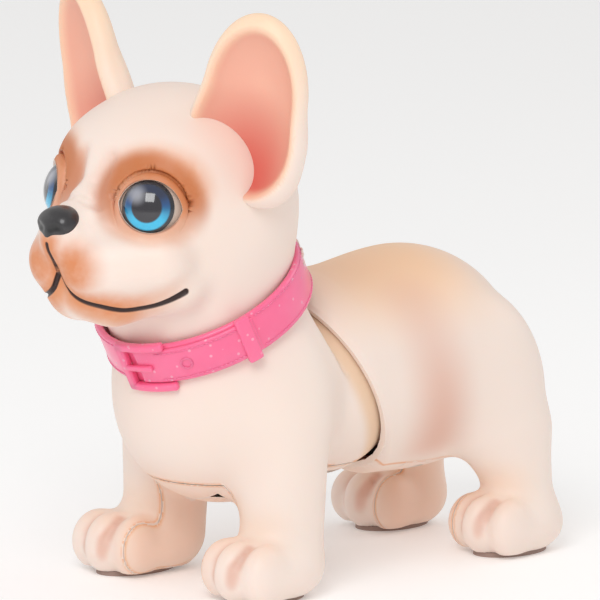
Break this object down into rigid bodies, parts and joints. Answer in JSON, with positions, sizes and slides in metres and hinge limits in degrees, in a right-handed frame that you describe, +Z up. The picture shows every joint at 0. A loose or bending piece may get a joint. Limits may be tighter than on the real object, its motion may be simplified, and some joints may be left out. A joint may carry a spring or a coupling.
{
  "type": "walking robot puppy toy",
  "caption": "Battery walking puppy toy with a swinging waist, turning head, upright cupped ears, glossy eyes and a buckled collar.",
  "frame": {"origin": "on the floor, below the middle of the toy's bounding box", "axes": "+Z up, nose towards -Y, the toy's own left towards +X"},
  "size_m": [0.1238, 0.205, 0.2045],
  "materials": {
    "vinyl": "soft matte moulded vinyl, cream with airbrushed peach and orange",
    "ear_vinyl": "matte vinyl, airbrushed red-pink at the root fading to peach at the rim",
    "collar": "glossy hot-pink glitter PVC",
    "nose": "glossy charcoal black",
    "eye_white": "polished",
    "iris": "printed blue iris with a black pupil",
    "cornea": "clear polished plastic",
    "pad": "soft matte rubber",
    "screw": "zinc plated",
    "steel": "plain",
    "cell": "printed sleeve",
    "frame_plastic": "moulded",
    "gear": "acetal",
    "board": "lacquered",
    "chip": "moulded",
    "switch": "moulded"
  },
  "bodies": {
    "front_body": {"batteries": "cell", "battery_contacts": "steel", "battery_door": "vinyl", "battery_door_screw": "screw", "battery_tray": "frame_plastic", "board_components": "chip", "buckle_prong": "collar", "circuit_board": "board", "collar_buckle": "collar", "collar_keeper": "collar", "collar_rivet": "collar", "collar_strap": "collar", "collar_tongue": "collar", "front_belly_cover": "vinyl", "front_leg_screws": "screw", "front_shell": "vinyl", "gearbox_cover": "frame_plastic", "gearbox_frame": "frame_plastic", "gearbox_screws": "screw", "left_front_paw_pad": "pad", "motor": "steel", "neck_post": "frame_plastic", "neck_screw": "screw", "neck_washer": "steel", "reducer_axle": "steel", "right_front_paw_pad": "pad", "waist_pin": "steel"},
    "head": {"face_shell": "vinyl", "head_back_shell": "vinyl", "head_base": "frame_plastic", "head_screws": "screw", "nose": "nose", "left_ear": "ear_vinyl", "left_eyeball": "eye_white", "left_iris": "iris", "left_cornea": "cornea", "right_ear": "ear_vinyl", "right_eyeball": "eye_white", "right_iris": "iris", "right_cornea": "cornea"},
    "rear_body": {"rear_shell": "vinyl", "rear_belly_cover": "vinyl", "rear_leg_screws": "screw", "drive_arm": "gear", "hip_frame": "frame_plastic", "arm_screws": "screw", "rear_cover_screws": "screw", "speaker": "chip", "switch_body": "switch", "left_rear_paw_pad": "pad", "right_rear_paw_pad": "pad"},
    "motor_rotor": {"motor_shaft": "steel", "motor_pinion": "gear"},
    "reducer": {"reducer_gear": "gear"},
    "switch_slider": {"switch_knob": "switch"}
  },
  "joints": [
    {"name": "waist_swing", "type": "hinge", "parent": "front_body", "child": "rear_body", "pos_m": [0, 0.015, 0.065], "axis": [0, 0, 1], "range_deg": [-10, 10]},
    {"name": "neck_turn", "type": "hinge", "parent": "front_body", "child": "head", "pos_m": [0, -0.031, 0.097], "axis": [0, -0.454, 0.891], "range_deg": [-15, 15]},
    {"name": "reducer_spin", "type": "hinge", "parent": "front_body", "child": "reducer", "pos_m": [0, -0.0034, 0.0706], "axis": [0, 0, 1], "range_deg": [-36.5, 36.5]},
    {"name": "motor_spin", "type": "hinge", "parent": "front_body", "child": "motor_rotor", "pos_m": [0, -0.0194, 0.0706], "axis": [0, 0, 1], "range_deg": [-109, 109]},
    {"name": "power_switch", "type": "slide", "parent": "rear_body", "child": "switch_slider", "axis": [0, 1, 0], "range_m": [0, 0.004]}
  ],
  "couplings": [
    {"joint": "reducer_spin", "follows": "waist_swing", "ratio": -3.6},
    {"joint": "motor_spin", "follows": "waist_swing", "ratio": 10.8}
  ]
}
